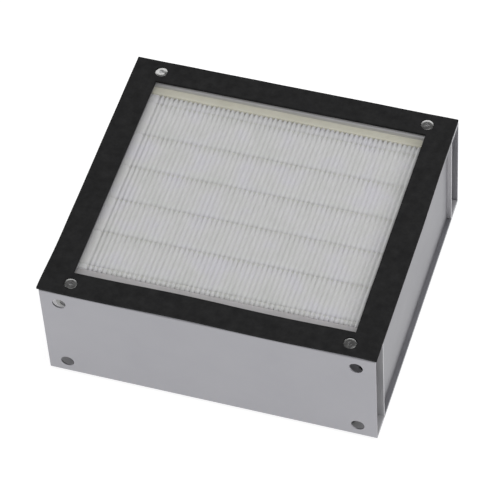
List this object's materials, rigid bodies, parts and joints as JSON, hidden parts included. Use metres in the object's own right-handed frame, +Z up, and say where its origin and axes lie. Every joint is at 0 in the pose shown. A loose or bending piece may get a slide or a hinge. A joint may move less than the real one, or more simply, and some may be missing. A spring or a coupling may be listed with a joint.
{
  "type": "fume extractor filter cassette",
  "caption": "Rectangular sheet-metal filter cassette with a pleated pack and a foam gasket round its inlet, for a solder fume extractor.",
  "frame": {"origin": "under the middle of the cassette, on the surface it stands on", "axes": "+X along the long sides, towards the right side; +Z up, out of the gasketed inlet; the front face, with two pairs of holes, faces -Y"},
  "size_m": [0.25, 0.23, 0.0967],
  "materials": {
    "sheet_metal": "satin",
    "gasket_foam": "matte closed-cell foam",
    "filter_paper": "matte fibre",
    "sealing_resin": "cast, slightly glossy",
    "hot_melt": "waxy",
    "rivet_metal": "polished",
    "mandrel_steel": "sheared"
  },
  "bodies": {
    "root": {"front_outer_channel": "sheet_metal", "front_inner_channel": "sheet_metal", "back_outer_channel": "sheet_metal", "back_inner_channel": "sheet_metal", "left_side_channel": "sheet_metal", "right_side_channel": "sheet_metal", "gasket_left": "gasket_foam", "gasket_right": "gasket_foam", "gasket_front": "gasket_foam", "gasket_back": "gasket_foam", "pleated_media": "filter_paper", "potting_front": "sealing_resin", "potting_back": "sealing_resin", "edge_sealant_left": "sealing_resin", "edge_sealant_right": "sealing_resin", "separator_top_1": "hot_melt", "separator_top_2": "hot_melt", "separator_top_3": "hot_melt", "separator_top_4": "hot_melt", "separator_top_5": "hot_melt", "separator_top_6": "hot_melt", "separator_bottom_1": "hot_melt", "separator_bottom_2": "hot_melt", "separator_bottom_3": "hot_melt", "separator_bottom_4": "hot_melt", "separator_bottom_5": "hot_melt", "separator_bottom_6": "hot_melt", "rivet_top_front_left": "rivet_metal", "mandrel_top_front_left": "mandrel_steel", "rivet_bottom_front_left": "rivet_metal", "mandrel_bottom_front_left": "mandrel_steel", "rivet_tab_front_left_upper": "rivet_metal", "mandrel_tab_front_left_upper": "mandrel_steel", "rivet_tab_front_left_lower": "rivet_metal", "mandrel_tab_front_left_lower": "mandrel_steel", "rivet_top_back_left": "rivet_metal", "mandrel_top_back_left": "mandrel_steel", "rivet_bottom_back_left": "rivet_metal", "mandrel_bottom_back_left": "mandrel_steel", "rivet_tab_back_left_upper": "rivet_metal", "mandrel_tab_back_left_upper": "mandrel_steel", "rivet_tab_back_left_lower": "rivet_metal", "mandrel_tab_back_left_lower": "mandrel_steel", "rivet_top_front_right": "rivet_metal", "mandrel_top_front_right": "mandrel_steel", "rivet_bottom_front_right": "rivet_metal", "mandrel_bottom_front_right": "mandrel_steel", "rivet_tab_front_right_upper": "rivet_metal", "mandrel_tab_front_right_upper": "mandrel_steel", "rivet_tab_front_right_lower": "rivet_metal", "mandrel_tab_front_right_lower": "mandrel_steel", "rivet_top_back_right": "rivet_metal", "mandrel_top_back_right": "mandrel_steel", "rivet_bottom_back_right": "rivet_metal", "mandrel_bottom_back_right": "mandrel_steel", "rivet_tab_back_right_upper": "rivet_metal", "mandrel_tab_back_right_upper": "mandrel_steel", "rivet_tab_back_right_lower": "rivet_metal", "mandrel_tab_back_right_lower": "mandrel_steel"}
  },
  "joints": []
}
